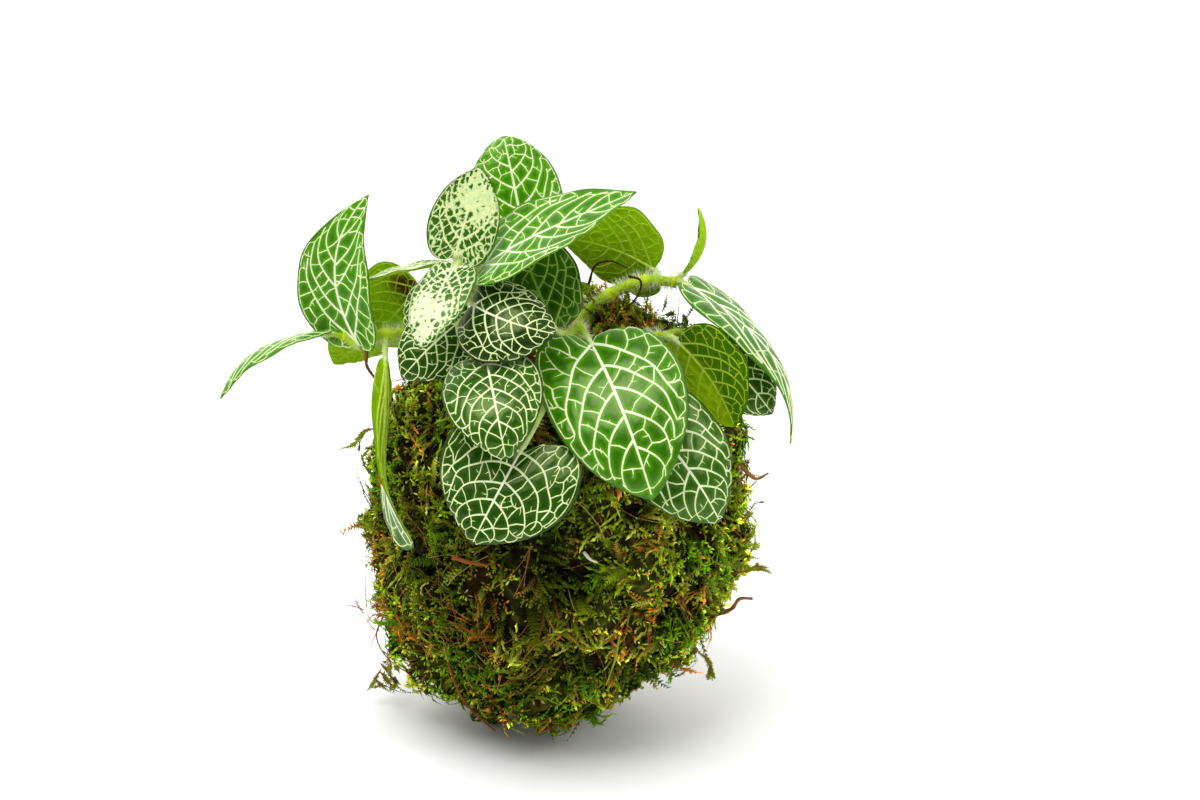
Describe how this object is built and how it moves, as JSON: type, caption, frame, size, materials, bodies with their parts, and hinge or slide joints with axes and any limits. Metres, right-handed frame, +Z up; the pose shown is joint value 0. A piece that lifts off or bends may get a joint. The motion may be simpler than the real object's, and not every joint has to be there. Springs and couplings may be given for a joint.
{
  "type": "kokedama plant",
  "caption": "Moss ball plant: a nerve plant with veined oval leaves growing from a root ball wrapped in moss and bound with thread.",
  "frame": {"origin": "on the flat foot under the moss ball, at the middle of the ball", "axes": "+Z up; -Y towards the front, where the large leaves hang over the ball; +X to the right of a person looking at the front"},
  "size_m": [0.1304, 0.1163, 0.145],
  "materials": {
    "moss": "living sheet moss, tangled and shaggy, olive to bright green with rusty fibres",
    "soil": "dark damp potting soil with fine roots",
    "thread": "thin dark cotton thread",
    "stem": "soft yellow-green plant stem with fine pale hairs",
    "leaf": "satin green leaf with a cream network of veins, yellow-green underneath",
    "young_leaf": "pale cream young leaf with green speckles and a green edge",
    "twig": "dry brown twig"
  },
  "bodies": {
    "root": {"moss_wrap": "moss", "soil_core": "soil", "binding_thread": "thread", "stem_front": "stem", "stem_top": "stem", "stem_left": "stem", "stem_right": "stem", "stem_right_low": "stem", "stem_back": "stem", "leaf_front_large": "leaf", "leaf_front_right": "leaf", "leaf_front_small": "leaf", "leaf_front_low": "leaf", "leaf_middle": "leaf", "leaf_centre_back": "leaf", "leaf_top": "leaf", "leaf_top_right": "leaf", "leaf_young_up": "young_leaf", "leaf_young_down": "young_leaf", "leaf_left_up": "leaf", "leaf_left_out": "leaf", "leaf_left_back": "leaf", "leaf_left_edge": "leaf", "leaf_left_under": "leaf", "leaf_left_inner": "leaf", "leaf_left_dark": "leaf", "leaf_left_hang": "leaf", "leaf_right_back": "leaf", "leaf_right_curl": "leaf", "leaf_right_out": "leaf", "leaf_right_under": "leaf", "leaf_right_low": "leaf", "leaf_back_left": "leaf", "leaf_back_right": "leaf", "leaf_back_middle": "leaf", "twig_right": "twig", "twig_right_high": "twig", "twig_left": "twig", "sprig_left_low": "moss", "sprig_left_high": "moss", "sprig_right_low": "moss", "sprig_right_mid": "moss"}
  },
  "joints": []
}
